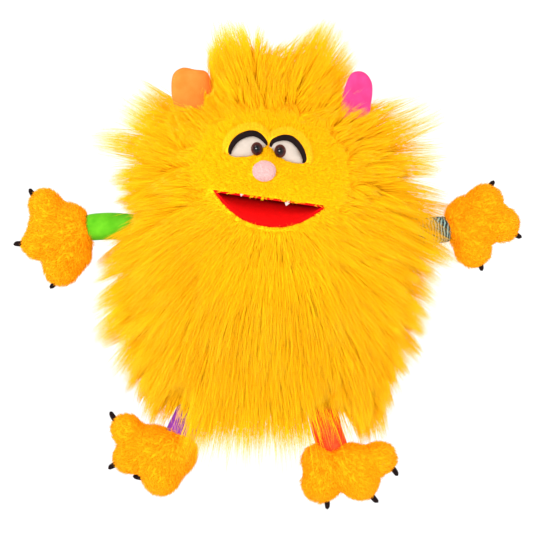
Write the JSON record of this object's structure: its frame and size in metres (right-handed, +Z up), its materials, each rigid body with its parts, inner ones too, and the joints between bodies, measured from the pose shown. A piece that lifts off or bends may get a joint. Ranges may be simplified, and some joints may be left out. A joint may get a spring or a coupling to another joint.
{
  "type": "moving mouth hand puppet",
  "caption": "Furry monster hand puppet: a long-pile sack over the hand with a hinged red mouth, felt eyes, ball nose, ears and stuffed clawed hands and feet on short limbs.",
  "frame": {"origin": "centre of the forearm opening, in the plane of the sleeve's hem", "axes": "+Z up from the opening to the crown, -Y the way the face looks, +X to the right as seen from the front; left and right in the names are as seen from the front"},
  "size_m": [0.4109, 0.1813, 0.385],
  "materials": {
    "long_pile": "long-pile fake fur, warm yellow",
    "short_pile": "short plush, warm orange-yellow",
    "lining": "woven satin lining",
    "board": "stiff grey board",
    "mouth_plush": "red short plush",
    "wadding": "white polyester wadding",
    "nose_plush": "pale pink short plush",
    "eye_felt": "off-white felt",
    "pupil": "glossy dark brown",
    "washer": "white moulded plastic",
    "black_felt": "black felt",
    "tooth_felt": "white felt",
    "ear_orange": "orange velour",
    "ear_pink": "hot pink velour",
    "green_plush": "bright green velour",
    "teal_print": "dark teal velour with a fine pattern",
    "purple_plush": "purple velour",
    "red_plush": "orange-red velour"
  },
  "bodies": {
    "lower_sack": {"lower_coat": "long_pile", "sleeve_lining": "lining", "sleeve_hem": "short_pile"},
    "head": {"head_coat": "long_pile", "head_padding": "wadding", "palm_lining": "lining", "finger_pocket": "lining", "upper_mouth_board": "board", "palate_lining": "mouth_plush", "mouth_hinge_strip": "mouth_plush", "nose_ball": "nose_plush", "ear_left": "ear_orange", "ear_right": "ear_pink", "eye_white_left": "eye_felt", "pupil_left": "pupil", "eye_washer_left": "washer", "lid_trim_left": "black_felt", "eyelid_left": "short_pile", "tooth_left": "tooth_felt", "eye_white_right": "eye_felt", "pupil_right": "pupil", "eye_washer_right": "washer", "lid_trim_right": "black_felt", "eyelid_right": "short_pile", "tooth_right": "tooth_felt"},
    "jaw": {"chin_coat": "short_pile", "lower_mouth_board": "board", "jaw_lining": "mouth_plush", "thumb_pocket": "lining"},
    "arm_left": {"arm_left_sleeve": "green_plush", "arm_left_stuffing": "wadding"},
    "hand_left": {"hand_left_skin": "short_pile", "hand_left_stuffing": "wadding", "hand_left_claw_1": "black_felt", "hand_left_claw_2": "black_felt", "hand_left_claw_3": "black_felt"},
    "arm_right": {"arm_right_sleeve": "teal_print", "arm_right_stuffing": "wadding"},
    "hand_right": {"hand_right_skin": "short_pile", "hand_right_stuffing": "wadding", "hand_right_claw_1": "black_felt", "hand_right_claw_2": "black_felt", "hand_right_claw_3": "black_felt"},
    "leg_left": {"leg_left_sleeve": "purple_plush", "leg_left_stuffing": "wadding"},
    "foot_left": {"foot_left_skin": "short_pile", "foot_left_stuffing": "wadding", "foot_left_claw_1": "black_felt", "foot_left_claw_2": "black_felt", "foot_left_claw_3": "black_felt"},
    "leg_right": {"leg_right_sleeve": "red_plush", "leg_right_stuffing": "wadding"},
    "foot_right": {"foot_right_skin": "short_pile", "foot_right_stuffing": "wadding", "foot_right_claw_1": "black_felt", "foot_right_claw_2": "black_felt", "foot_right_claw_3": "black_felt"}
  },
  "joints": [
    {"name": "head_nod", "type": "hinge", "parent": "lower_sack", "child": "head", "pos_m": [0, 0, 0.085], "axis": [1, 0, 0], "range_deg": [-12, 16], "stiffness_Nm_per_rad": 4},
    {"name": "jaw_open", "type": "hinge", "parent": "head", "child": "jaw", "pos_m": [0.0024, 0.004, 0.169], "axis": [0.9903, 0, -0.1392], "range_deg": [-12.5, 25], "stiffness_Nm_per_rad": 0.8},
    {"name": "arm_left_raise", "type": "hinge", "parent": "head", "child": "arm_left", "pos_m": [-0.1195, 0, 0.147], "axis": [0, 1, 0], "range_deg": [-45, 40], "stiffness_Nm_per_rad": 0.5},
    {"name": "hand_left_flap", "type": "hinge", "parent": "arm_left", "child": "hand_left", "pos_m": [-0.134, 0, 0.147], "axis": [0, 0, 1], "range_deg": [-35, 35], "stiffness_Nm_per_rad": 0.3},
    {"name": "arm_right_raise", "type": "hinge", "parent": "head", "child": "arm_right", "pos_m": [0.1195, 0, 0.144], "axis": [0, -1, 0], "range_deg": [-45, 40], "stiffness_Nm_per_rad": 0.5},
    {"name": "hand_right_flap", "type": "hinge", "parent": "arm_right", "child": "hand_right", "pos_m": [0.137, 0, 0.144], "axis": [0, 0, 1], "range_deg": [-35, 35], "stiffness_Nm_per_rad": 0.3},
    {"name": "leg_left_swing", "type": "hinge", "parent": "lower_sack", "child": "leg_left", "pos_m": [-0.066, -0.026, -0.0135], "axis": [-1, 0, 0], "range_deg": [-30, 40], "stiffness_Nm_per_rad": 0.4},
    {"name": "foot_left_flap", "type": "hinge", "parent": "leg_left", "child": "foot_left", "pos_m": [-0.07, -0.028, -0.023], "axis": [0, 1, 0], "range_deg": [-12, 12], "stiffness_Nm_per_rad": 0.3},
    {"name": "leg_right_swing", "type": "hinge", "parent": "lower_sack", "child": "leg_right", "pos_m": [0.048, -0.038, -0.0135], "axis": [-1, 0, 0], "range_deg": [-30, 40], "stiffness_Nm_per_rad": 0.4},
    {"name": "foot_right_flap", "type": "hinge", "parent": "leg_right", "child": "foot_right", "pos_m": [0.051, -0.039, -0.024], "axis": [0, 1, 0], "range_deg": [-12, 12], "stiffness_Nm_per_rad": 0.3}
  ]
}
